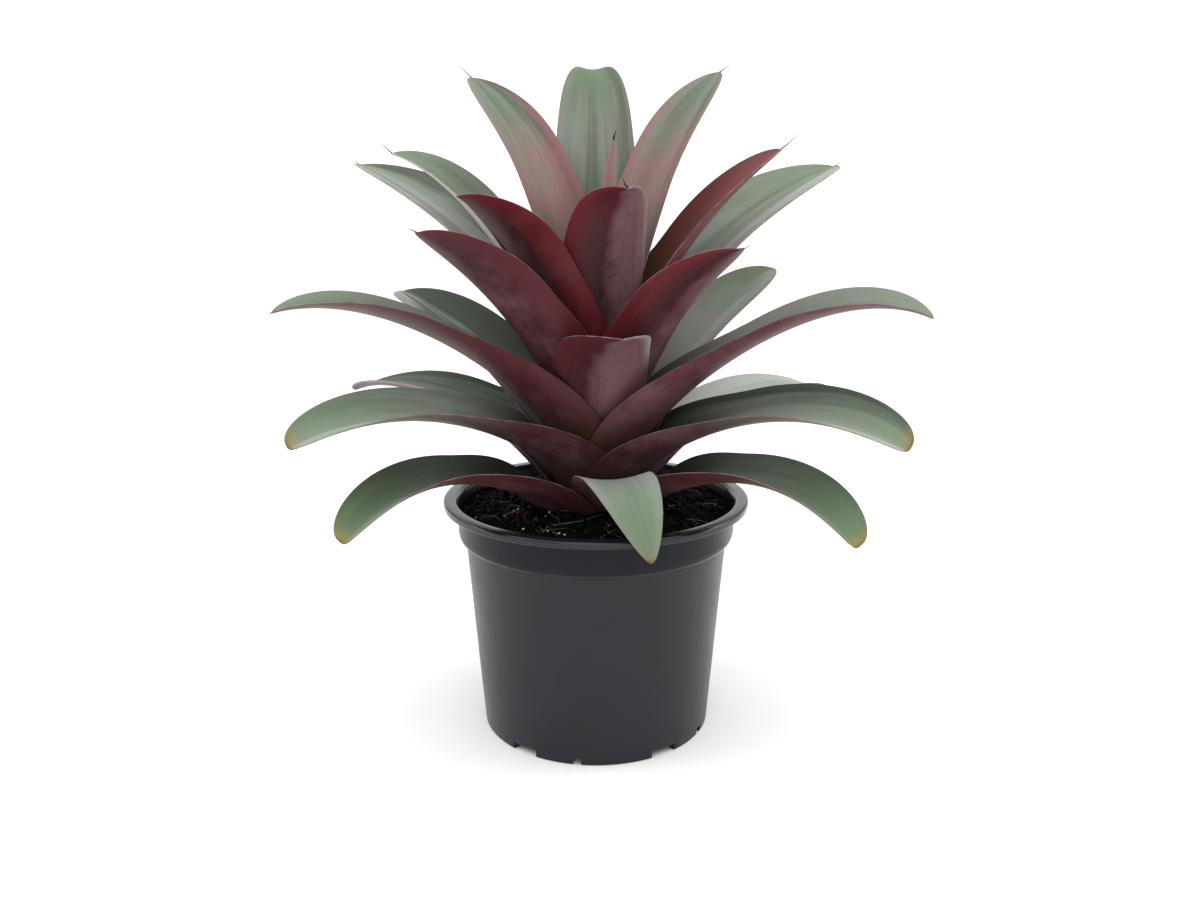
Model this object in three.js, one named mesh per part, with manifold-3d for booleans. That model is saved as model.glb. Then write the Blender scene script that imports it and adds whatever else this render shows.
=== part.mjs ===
// Potted bromeliad: a plastic nursery pot of potting mix with a rosette of strap leaves on a short stem.
// Millimetres. +Z is up, the pot stands on z = 0 about the Z axis, and -Y is the front.
import * as THREE from "three";
import { mergeVertices } from "three/addons/utils/BufferGeometryUtils.js";
import Module from "manifold-3d";

const wasm = await Module();
wasm.setup();

// ---------------------------------------------------------------- driving dimensions
const FIT_GAP = 0.3; // clearance left between neighbouring pieces

const POT_HEIGHT = 133.7;
const POT_SEGMENTS = 45; // facets round the pot, a whole number for each of its five notch groups
const FOOT_RADIUS = 65.3;
const WALL_TOP_RADIUS = 74; // outside of the tapered wall, just under the collar
const WALL = 1.8;
const COLLAR_RADIUS = 78.2; // upright band between the step and the rim
const COLLAR_FROM = 111; // height of the step under the collar
const RIM_RADIUS = 86;
const RIM_INNER_RADIUS = 79; // mouth
const RIM_LIP = 3.9; // height of the turned-down lip
const FOOT_RING_WIDTH = 5.5;
const DRAIN_CHANNEL_DEPTH = 3.6;
const DRAIN_CHANNEL_WIDTH = 8;
const DRAIN_HOLE_RADIUS = 3.2;
const NOTCH_HEIGHT = 4; // notches through the foot ring
const NOTCH_GROUPS = 5;
const WIDE_NOTCH = { at: -37, width: 13 }; // degrees round the foot, repeated for each group
const NARROW_NOTCH = { at: -81, width: 3.5 };

const SOIL_EDGE_HEIGHT = 125.5; // top of the mix where it meets the pot
const SOIL_HEAP_HEIGHT = 133.5; // top of the mix round the plant
const PLANTING_HOLE_RADIUS = 42; // the hole that the stem and the leaf bases stand in
const PLANTING_HOLE_FLOOR = 113;
const CRUMBS = 46; // bark and grit lying in the surface
const CRUMB_SIZE = [1.6, 4.2]; // smallest and largest radius

const STEM_FROM = PLANTING_HOLE_FLOOR + FIT_GAP;
const STEM_TOP = 246;
const STEM_BASE_RADIUS = 28;
const STEM_TOP_RADIUS = 7;

const LEAF_THICKNESS = 0.9;
const LEAF_ROWS = 12; // facets along a leaf
const LEAF_COLUMNS = 6; // facets across it
const CLASP_LENGTH = 0.52; // share of its length over which the clasping base opens to the blade
const TIP_HALF_WIDTH = 0.7;
const TIP_CUP = 26; // degrees, the channel's half angle at the tip

// What most leaves share, where a row below gives nothing else. cup: half angle of the blade's channel, degrees;
// twist: degrees that the clasping base is turned round the stem; roll: degrees that the tip turns about the
// midrib; lift: the same, most half way along; sway: how far the tip swings to the side; taper: share of the
// length where the blade starts to narrow; point: how gradually it does, less for a blunter tip.
const PLAIN_LEAF = { cup: 48, twist: 0, roll: 0, lift: 0, sway: 0, taper: 0.56, point: 0.66 };

// One row for each leaf, from the lowest up. azimuth: degrees round the stem from the front, positive to the right;
// base: height where it leaves the stem; clasp: how far its base reaches round the stem to each side, degrees;
// sheath: height of its upright clasping part; bow: distance from the axis and height that the blade arches
// towards; tip: the same for its point; half: half width of the blade.
const LEAVES = [
  { azimuth: -55, base: 119, clasp: 62, sheath: 30, bow: [118, 177], tip: [152, 134],
    half: 24, roll: -3, point: 0.42 },
  { azimuth: 55, base: 122, clasp: 58, sheath: 28, bow: [126, 179], tip: [157, 133],
    half: 24, roll: 3, point: 0.42 },
  { azimuth: 3, base: 126, clasp: 8, sheath: 28, bow: [84, 185], tip: [98, 127],
    half: 19, cup: 20, roll: 5, sway: 22, taper: 0.45, point: 0.75 },
  { azimuth: 180, base: 130, clasp: 42, sheath: 26, bow: [112, 158], tip: [142, 126], half: 18 },
  { azimuth: 127, base: 134, clasp: 66, sheath: 29, bow: [144, 191], tip: [185, 172], half: 25 },
  { azimuth: -124, base: 137, clasp: 64, sheath: 27, bow: [134, 196], tip: [190, 174], half: 25 },
  { azimuth: 66, base: 140, clasp: 84, sheath: 31, bow: [122, 210], tip: [171, 177],
    half: 27, roll: 15, point: 0.42 },
  { azimuth: -65, base: 143, clasp: 86, sheath: 31, bow: [119, 207], tip: [168, 178],
    half: 26, twist: 12, roll: -11, point: 0.42 },
  { azimuth: -178, base: 149, clasp: 34, sheath: 32, bow: [108, 204], tip: [150, 180], half: 20 },
  { azimuth: 129, base: 151, clasp: 41, sheath: 39, bow: [101, 240], tip: [140, 254],
    half: 23, cup: 44, twist: 2, roll: 8 },
  { azimuth: -134, base: 156, clasp: 46, sheath: 30, bow: [137, 230], tip: [178, 236],
    half: 26, cup: 44, roll: -4 },
  { azimuth: 78, base: 156, clasp: 90, sheath: 37, bow: [128, 265], tip: [177, 238],
    half: 26, cup: 47, twist: -3, roll: 9, lift: -3 },
  { azimuth: -83, base: 161, clasp: 92, sheath: 40, bow: [120, 256], tip: [172, 239],
    half: 27, cup: 46, twist: 12, roll: -6, lift: 8 },
  { azimuth: 2, base: 169, clasp: 80, sheath: 42, bow: [56, 229], tip: [86, 234],
    half: 28, sway: 10, taper: 0.3, point: 1 },
  { azimuth: 178, base: 171, clasp: 62, sheath: 42, bow: [84, 262], tip: [128, 262], half: 22 },
  { azimuth: 45, base: 175, clasp: 64, sheath: 42, bow: [64, 257], tip: [97, 275],
    half: 28, twist: -8, roll: -2 },
  { azimuth: -57, base: 179, clasp: 66, sheath: 43, bow: [70, 265], tip: [103, 282],
    half: 32, twist: 10, roll: 8, lift: 3 },
  { azimuth: 123, base: 183, clasp: 66, sheath: 66, bow: [115, 297], tip: [174, 315],
    half: 35, cup: 38, roll: 4 },
  { azimuth: -124, base: 187, clasp: 52, sheath: 67, bow: [115, 299], tip: [176, 316], half: 33, cup: 40 },
  { azimuth: -104, base: 191, clasp: 66, sheath: 58, bow: [73, 313], tip: [116, 321],
    half: 25, cup: 42, roll: -6 },
  { azimuth: -64, base: 195, clasp: 84, sheath: 48, bow: [48, 287], tip: [77, 299],
    half: 31, twist: 12, roll: 3, lift: 9 },
  { azimuth: 100, base: 199, clasp: 70, sheath: 50, bow: [66, 300], tip: [102, 323], half: 23, roll: 6 },
  { azimuth: 6, base: 204, clasp: 80, sheath: 56, bow: [44, 304], tip: [74, 303],
    half: 25, sway: 8, taper: 0.2, point: 1 },
  { azimuth: 180, base: 209, clasp: 76, sheath: 84, bow: [96, 386], tip: [116, 371],
    half: 24.5, cup: 30, sway: 2.5, taper: 0.25, point: 0.9 },
  { azimuth: 137, base: 214, clasp: 58, sheath: 72, bow: [62, 340], tip: [105, 368],
    half: 20.5, cup: 42, point: 0.7 },
  { azimuth: -137, base: 220, clasp: 58, sheath: 68, bow: [61, 340], tip: [107, 365],
    half: 22.5, cup: 42, point: 0.7 },
  { azimuth: 24, base: 236, clasp: 80, sheath: 10, bow: [13, 300], tip: [16, 327],
    half: 7, cup: 36, sway: 3, taper: 0, point: 1 },
].map((row) => ({ ...PLAIN_LEAF, ...row }));

// ---------------------------------------------------------------- helpers
const radians = THREE.MathUtils.degToRad;
const mix = THREE.MathUtils.lerp;

// 0 at or below 0, 1 at or above 1, and an S curve between.
function ease(x) {
  return THREE.MathUtils.smoothstep(x, 0, 1);
}

// Repeatable random numbers from 0 to 1.
function randomFrom(seed) {
  let state = seed;
  return () => {
    state = (state * 1664525 + 1013904223) % 4294967296;
    return state / 4294967296;
  };
}

function geometryOf(points, triangles) {
  const geometry = new THREE.BufferGeometry();
  const coordinates = points.flatMap((p) => [p.x, p.y, p.z]);
  geometry.setAttribute("position", new THREE.Float32BufferAttribute(coordinates, 3));
  geometry.setIndex(triangles);
  return geometry;
}

// A closed solid turned about Z. The profile runs from the axis, outside first, back to the axis, anticlockwise in
// (radius, height); shift(point, angle) may raise or lower a profile point at an angle.
function turned(profile, segments, shift = () => 0) {
  const points = [];
  const triangles = [];
  const rings = profile.slice(1, -1);
  const first = profile[0];
  const last = profile[profile.length - 1];
  for (const ring of rings) {
    for (let k = 0; k < segments; k++) {
      const angle = (2 * Math.PI * k) / segments;
      const z = ring[1] + shift(ring, angle);
      points.push(new THREE.Vector3(ring[0] * Math.sin(angle), -ring[0] * Math.cos(angle), z));
    }
  }
  const start = points.push(new THREE.Vector3(0, 0, first[1])) - 1;
  const end = points.push(new THREE.Vector3(0, 0, last[1])) - 1;
  for (let k = 0; k < segments; k++) {
    const next = (k + 1) % segments;
    triangles.push(start, next, k);
    for (let i = 0; i < rings.length - 1; i++) {
      const a = i * segments;
      const b = a + segments;
      triangles.push(a + k, a + next, b + next, a + k, b + next, b + k);
    }
    const top = (rings.length - 1) * segments;
    triangles.push(end, top + k, top + next);
  }
  return geometryOf(points, triangles);
}

function toManifold(geometry) {
  const bare = new THREE.BufferGeometry();
  bare.setAttribute("position", geometry.getAttribute("position"));
  bare.setIndex(geometry.index);
  const merged = mergeVertices(bare, 1e-4);
  return new wasm.Manifold(
    new wasm.Mesh({
      numProp: 3,
      vertProperties: new Float32Array(merged.attributes.position.array),
      triVerts: new Uint32Array(merged.index.array),
    }),
  );
}

function fromManifold(solid) {
  const mesh = solid.getMesh();
  const geometry = new THREE.BufferGeometry();
  geometry.setAttribute("position", new THREE.Float32BufferAttribute(Array.from(mesh.vertProperties), 3));
  geometry.setIndex(Array.from(mesh.triVerts));
  return geometry;
}

const plant = new THREE.Group();
plant.name = "potted_bromeliad";

function addNode(name, geometry, colour, roughness) {
  const flat = geometry.index ? geometry.toNonIndexed() : geometry;
  flat.computeVertexNormals();
  const material = new THREE.MeshStandardMaterial({ name, color: colour, roughness, metalness: 0 });
  const mesh = new THREE.Mesh(flat, material);
  mesh.name = name;
  plant.add(mesh);
}

// ---------------------------------------------------------------- pot
// Outer radius of the tapered wall at a height.
function wallRadius(z) {
  return mix(FOOT_RADIUS, WALL_TOP_RADIUS, z / COLLAR_FROM);
}

const channelOuter = FOOT_RADIUS - FOOT_RING_WIDTH;
const channelInner = channelOuter - DRAIN_CHANNEL_WIDTH;
const channelMiddle = (channelOuter + channelInner) / 2;
const channelTop = DRAIN_CHANNEL_DEPTH + WALL; // the pot floor's upper face over the channel

function potProfile() {
  const lipFrom = POT_HEIGHT - RIM_LIP;
  const outside = [
    [0, 0],
    [channelInner, 0],
    [channelInner + 1, DRAIN_CHANNEL_DEPTH],
    [channelOuter - 1, DRAIN_CHANNEL_DEPTH],
    [channelOuter, 0],
    [FOOT_RADIUS, 0],
    [WALL_TOP_RADIUS, COLLAR_FROM - 0.5],
    [COLLAR_RADIUS - 1.6, COLLAR_FROM + 0.6],
    [COLLAR_RADIUS - 0.4, COLLAR_FROM + 2.6],
    [COLLAR_RADIUS, lipFrom],
    [RIM_RADIUS - 0.7, lipFrom],
    [RIM_RADIUS, lipFrom + 0.8],
    [RIM_RADIUS, POT_HEIGHT - 0.8],
    [RIM_RADIUS - 0.8, POT_HEIGHT],
  ];
  const inside = [
    [RIM_INNER_RADIUS + 0.8, POT_HEIGHT],
    [RIM_INNER_RADIUS - 0.6, POT_HEIGHT - 1.2],
    [COLLAR_RADIUS - WALL, lipFrom - 1.5],
    [COLLAR_RADIUS - WALL - 0.4, COLLAR_FROM + 3.6],
    [WALL_TOP_RADIUS - WALL, COLLAR_FROM],
    [wallRadius(channelTop) - WALL, channelTop],
    [channelInner - 1, channelTop],
    [channelInner - 2, WALL],
    [0, WALL],
  ];
  return [...outside, ...inside];
}

// A block across the foot ring, for a notch centred at an angle.
function notchCutter(at, width) {
  const across = 2 * FOOT_RADIUS * Math.sin(radians(width / 2));
  const block = new THREE.BoxGeometry(across, FOOT_RING_WIDTH + 4, NOTCH_HEIGHT + 2);
  block.translate(0, -(FOOT_RADIUS - FOOT_RING_WIDTH / 2 + 1), NOTCH_HEIGHT / 2 - 1);
  block.rotateZ(radians(at));
  return toManifold(block);
}

function drainCutter(at) {
  const pin = new THREE.CylinderGeometry(DRAIN_HOLE_RADIUS, DRAIN_HOLE_RADIUS, 12, 12);
  pin.rotateX(Math.PI / 2);
  pin.translate(0, -channelMiddle, DRAIN_CHANNEL_DEPTH);
  pin.rotateZ(radians(at));
  return toManifold(pin);
}

function pot() {
  let solid = toManifold(turned(potProfile(), POT_SEGMENTS));
  for (let group = 0; group < NOTCH_GROUPS; group++) {
    const turn = (360 / NOTCH_GROUPS) * group;
    solid = solid.subtract(notchCutter(WIDE_NOTCH.at + turn, WIDE_NOTCH.width));
    solid = solid.subtract(notchCutter(NARROW_NOTCH.at + turn, NARROW_NOTCH.width));
    solid = solid.subtract(drainCutter(WIDE_NOTCH.at + turn));
  }
  return fromManifold(solid);
}

// ---------------------------------------------------------------- potting mix
function soilTop(radius) {
  const share = (radius - PLANTING_HOLE_RADIUS) / (RIM_INNER_RADIUS - PLANTING_HOLE_RADIUS);
  return mix(SOIL_HEAP_HEIGHT, SOIL_EDGE_HEIGHT, ease(share));
}

// Low humps in the surface, a few waves round and across, fading out at the pot wall.
function soilHumps([radius, z], angle) {
  if (z < SOIL_EDGE_HEIGHT - 1 || radius > RIM_INNER_RADIUS - 6) return 0;
  const waves = Math.sin(5 * angle + radius / 9) + Math.sin(9 * angle - radius / 5 + 1.3);
  return 0.8 * waves + 1.1 * Math.sin(3 * angle + 0.6) * Math.cos(radius / 7);
}

function soilProfile() {
  const g = FIT_GAP;
  const rings = 7;
  const wallTop = COLLAR_RADIUS - WALL - 0.2 - g;
  const profile = [
    [0, WALL + g],
    [channelInner - 2.3, WALL + g],
    [channelInner - 1.3, channelTop + g],
    [wallRadius(channelTop) - WALL - g - 0.1, channelTop + g],
    [WALL_TOP_RADIUS - WALL - g, COLLAR_FROM + 0.4],
    [COLLAR_RADIUS - WALL - 0.4 - g, COLLAR_FROM + 4],
    [wallTop, soilTop(wallTop)],
  ];
  for (let i = 1; i <= rings; i++) {
    const radius = mix(wallTop, PLANTING_HOLE_RADIUS, i / rings);
    profile.push([radius, soilTop(radius)]);
  }
  profile.push([PLANTING_HOLE_RADIUS, PLANTING_HOLE_FLOOR], [0, PLANTING_HOLE_FLOOR]);
  return profile;
}

// Bark and grit crumbs half sunk in the surface.
function soil() {
  let solid = toManifold(turned(soilProfile(), POT_SEGMENTS, soilHumps));
  const random = randomFrom(17);
  for (let i = 0; i < CRUMBS; i++) {
    const size = mix(CRUMB_SIZE[0], CRUMB_SIZE[1], random() ** 2);
    const radius = mix(PLANTING_HOLE_RADIUS + 4, COLLAR_RADIUS - WALL - 6, Math.sqrt(random()));
    const angle = 2 * Math.PI * random();
    const ground = soilTop(radius) + soilHumps([radius, SOIL_HEAP_HEIGHT], angle);
    const crumb = new THREE.IcosahedronGeometry(size, 0);
    crumb.scale(1, mix(0.6, 1, random()), mix(0.5, 0.8, random()));
    crumb.rotateZ(2 * Math.PI * random());
    crumb.translate(radius * Math.sin(angle), -radius * Math.cos(angle), ground);
    solid = solid.add(toManifold(crumb));
  }
  return fromManifold(solid);
}

// ---------------------------------------------------------------- stem
function stemRadius(z) {
  return mix(STEM_BASE_RADIUS, STEM_TOP_RADIUS, (z - STEM_FROM) / (STEM_TOP - STEM_FROM));
}

function stem() {
  const profile = [[0, STEM_FROM]];
  const rings = 6;
  for (let i = 0; i <= rings; i++) {
    const z = mix(STEM_FROM, STEM_TOP - 2, i / rings);
    profile.push([stemRadius(z), z]);
  }
  profile.push([0, STEM_TOP]);
  return turned(profile, 24);
}

// ---------------------------------------------------------------- leaves
// The midrib: a cubic curve in the upright plane of the leaf's azimuth, as distance from the axis and height.
function midrib(leaf) {
  const lean = 0.42 - 0.002 * (leaf.base - LEAVES[0].base); // lower leaves lean out more
  const from = stemRadius(leaf.base) + FIT_GAP + LEAF_THICKNESS;
  return new THREE.CubicBezierCurve(
    new THREE.Vector2(from, leaf.base),
    new THREE.Vector2(from + lean * leaf.sheath, leaf.base + leaf.sheath),
    new THREE.Vector2(...leaf.bow),
    new THREE.Vector2(...leaf.tip),
  );
}

function bladeHalfWidth(leaf, along) {
  const left = 1 - Math.max(0, (along - leaf.taper) / (1 - leaf.taper)) ** 2.6;
  return TIP_HALF_WIDTH + (leaf.half - TIP_HALF_WIDTH) * left ** leaf.point;
}

// The leaf's middle surface: along runs from 0 at the stem to 1 at the tip, across from -1 to 1. Each crossing
// line is an arc: level and centred on the stem at the base, square to the midrib on the blade, where it forms
// the channel.
function leafPoint(leaf, along, across) {
  const curve = midrib(leaf);
  const spot = curve.getPoint(along);
  const run = curve.getTangent(along);
  const open = ease(along / CLASP_LENGTH);
  const cup = mix(leaf.cup, TIP_CUP, ease((along - 0.45) / 0.5));
  const angle = radians(mix(leaf.clasp, cup, open));
  const radius = mix(spot.x, bladeHalfWidth(leaf, along) / angle, open);
  const tilt = Math.atan2(run.x, run.y) * open;
  const round = across * angle + radians(leaf.twist) * (1 - open);
  const side = radius * Math.sin(round);
  const deep = radius * (1 - Math.cos(round));
  const roll = radians(leaf.roll * along + leaf.lift * Math.sin(Math.PI * along) ** 2);
  const sideways = side * Math.cos(roll) - deep * Math.sin(roll) + leaf.sway * along ** 2;
  const inward = side * Math.sin(roll) + deep * Math.cos(roll);
  const outward = spot.x - inward * Math.cos(tilt);
  const azimuth = radians(leaf.azimuth);
  return new THREE.Vector3(
    outward * Math.sin(azimuth) + sideways * Math.cos(azimuth),
    -outward * Math.cos(azimuth) + sideways * Math.sin(azimuth),
    spot.y + inward * Math.sin(tilt),
  );
}

// The middle surface's unit normal, on the upper, inner side.
function leafNormal(leaf, along, across) {
  const step = 0.01;
  const lengthwise = leafPoint(leaf, Math.min(along + step, 1), across);
  lengthwise.sub(leafPoint(leaf, Math.max(along - step, 0), across));
  const crosswise = leafPoint(leaf, along, Math.min(across + step, 1));
  crosswise.sub(leafPoint(leaf, along, Math.max(across - step, -1)));
  return crosswise.cross(lengthwise).normalize();
}

// Two faces a leaf's thickness apart, split into the same triangles, and a narrow edge all round.
function leafBlade(leaf) {
  const points = [];
  const triangles = [];
  const wide = LEAF_COLUMNS + 1;
  const face = (LEAF_ROWS + 1) * wide;
  for (const half of [0.5, -0.5]) {
    for (let i = 0; i <= LEAF_ROWS; i++) {
      for (let j = 0; j <= LEAF_COLUMNS; j++) {
        const along = i / LEAF_ROWS;
        const across = (2 * j) / LEAF_COLUMNS - 1;
        const normal = leafNormal(leaf, along, across);
        points.push(leafPoint(leaf, along, across).addScaledVector(normal, half * LEAF_THICKNESS));
      }
    }
  }
  for (let i = 0; i < LEAF_ROWS; i++) {
    for (let j = 0; j < LEAF_COLUMNS; j++) {
      const a = i * wide + j;
      const b = a + 1;
      const c = a + wide + 1;
      const d = a + wide;
      const halves = j < LEAF_COLUMNS / 2 ? [a, b, d, b, c, d] : [a, b, c, a, c, d];
      triangles.push(...halves);
      for (let k = 0; k < 6; k += 3) {
        triangles.push(face + halves[k], face + halves[k + 2], face + halves[k + 1]);
      }
    }
  }
  const edge = [];
  for (let j = 0; j < LEAF_COLUMNS; j++) edge.push(j);
  for (let i = 0; i < LEAF_ROWS; i++) edge.push(i * wide + LEAF_COLUMNS);
  for (let j = LEAF_COLUMNS; j > 0; j--) edge.push(LEAF_ROWS * wide + j);
  for (let i = LEAF_ROWS; i > 0; i--) edge.push(i * wide);
  edge.forEach((a, k) => {
    const b = edge[(k + 1) % edge.length];
    triangles.push(a, face + a, face + b, a, face + b, b);
  });
  return geometryOf(points, triangles);
}

// ---------------------------------------------------------------- assembly
addNode("pot", pot(), 0x3c3d41, 0.45);
addNode("potting_mix", soil(), 0x2a211b, 0.95);
addNode("stem", stem(), 0x6a6a3c, 0.8);
LEAVES.forEach((leaf, i) => {
  const name = "leaf_" + String(i + 1).padStart(2, "0");
  addNode(name, leafBlade(leaf), 0x7a8c70, 0.55);
});

export default plant;
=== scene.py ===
import math
import random

import bmesh
import bpy
from mathutils import Matrix, Vector, noise


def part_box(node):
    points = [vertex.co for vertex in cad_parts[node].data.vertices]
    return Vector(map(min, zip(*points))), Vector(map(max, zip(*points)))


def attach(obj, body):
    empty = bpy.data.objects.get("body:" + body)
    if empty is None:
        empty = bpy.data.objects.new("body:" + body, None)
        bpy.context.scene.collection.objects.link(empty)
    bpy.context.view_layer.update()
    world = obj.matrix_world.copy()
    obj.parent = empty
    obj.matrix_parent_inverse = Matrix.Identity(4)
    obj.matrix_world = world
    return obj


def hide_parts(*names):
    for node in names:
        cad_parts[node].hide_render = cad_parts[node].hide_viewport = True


bl_info = {
    "name": "Potted bromeliad",
    "version": (1, 0, 0),
    "blender": (4, 5, 0),
    "location": "3D View > Sidebar > Bromeliad",
    "description": "Dresses the packed model of a bromeliad in its nursery pot",
    "category": "Object",
}

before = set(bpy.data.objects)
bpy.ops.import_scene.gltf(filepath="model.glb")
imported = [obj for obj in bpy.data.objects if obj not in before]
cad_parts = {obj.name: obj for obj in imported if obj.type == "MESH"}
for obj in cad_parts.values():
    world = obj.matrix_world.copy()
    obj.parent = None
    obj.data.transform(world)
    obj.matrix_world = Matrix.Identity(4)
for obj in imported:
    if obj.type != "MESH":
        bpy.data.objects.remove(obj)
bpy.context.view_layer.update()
MM = 0.001

# ---------------------------------------------------------------- sizes shared with the solids, in millimetres
POT_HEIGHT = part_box("pot")[1][2] / MM
RIM_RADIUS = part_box("pot")[1][0] / MM
FOOT_RADIUS = 65.3
WALL_TOP_RADIUS = 74
WALL = 1.8
COLLAR_RADIUS = 78.2
COLLAR_FROM = 111
RIM_INNER_RADIUS = 79
RIM_LIP = 3.9
FOOT_RING_WIDTH = 5.5
DRAIN_CHANNEL_DEPTH = 3.6
DRAIN_CHANNEL_WIDTH = 8
NOTCHES = ((-37, 13), (-81, 3.5))  # middle and width of each notch, degrees round the foot
NOTCH_GROUPS = 5
SOIL_EDGE_HEIGHT = 125.5
SOIL_HEAP_HEIGHT = 133.5
PLANTING_HOLE_RADIUS = 42

STEM_FROM = 113.3
STEM_TOP = 246
STEM_BASE_RADIUS = 28
STEM_TOP_RADIUS = 7
FIT_GAP = 0.3
LEAF_THICKNESS = 0.9
CLASP_LENGTH = 0.52
TIP_HALF_WIDTH = 0.7
TIP_CUP = 26
LOWEST_LEAF = 119

# ---------------------------------------------------------------- sizes that only the scene has, in millimetres
STREWN = (36, COLLAR_RADIUS - 4)  # the ring that holds the loose crumbs
FIBRED = (40, COLLAR_RADIUS - 7)  # the ring that the fibres start in
FIBRE_REACH = COLLAR_RADIUS - 3.5
LUMP_SIZE = 0.9
PEBBLE_SIZE = 2
THREAD_THICKNESS = 0.42
WITHERED_THICKNESS = 0.6
THREAD_END = 0.08
CAMERA_PLACE = (2.3, -590, 306)
CAMERA_TILT = 76.05  # degrees up from straight down

# Where the larger lumps of perlite and the pebble lie on the potting mix, as x and y from the pot's middle.
PERLITE_LUMPS = (
    (-25, -53), (-19, -56), (-16, -59), (-38, -51), (-30, -41), (-42, -35), (-25, -34), (34, -55), (52, -40),
)
PEBBLE = ((-44, -31),)

# A leaf's form where its row doesn't say otherwise.
PLAIN_FORM = {"cup": 48, "twist": 0, "roll": 0, "lift": 0, "sway": 0, "taper": 0.56, "point": 0.66}
# Its colouring. Upper side: pink, green to the tip, painted shade to the base, silvery, partly painted light.
# Under side: red, and a waxy bloom that is partly a painted sheen. Each by its sign, the last three pick the side
# of the bloom, the silvery side, which is partly a painted sheen, and the side with painted shade.
TINTS = {"blush": 0, "fresh": 0, "shade": 0, "silver": 0, "ruby": 1, "bloom": 0.5, "lean": 0, "frost": 0, "dusk": 0}


def leaf(azimuth, base, clasp, sheath, bow, tip, half, **more):
    """One leaf's measures, as in the solids, and its colouring."""
    given = {"azimuth": azimuth, "base": base, "clasp": clasp, "sheath": sheath, "bow": bow, "tip": tip, "half": half}
    return {**PLAIN_FORM, **TINTS, **given, **more}


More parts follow.
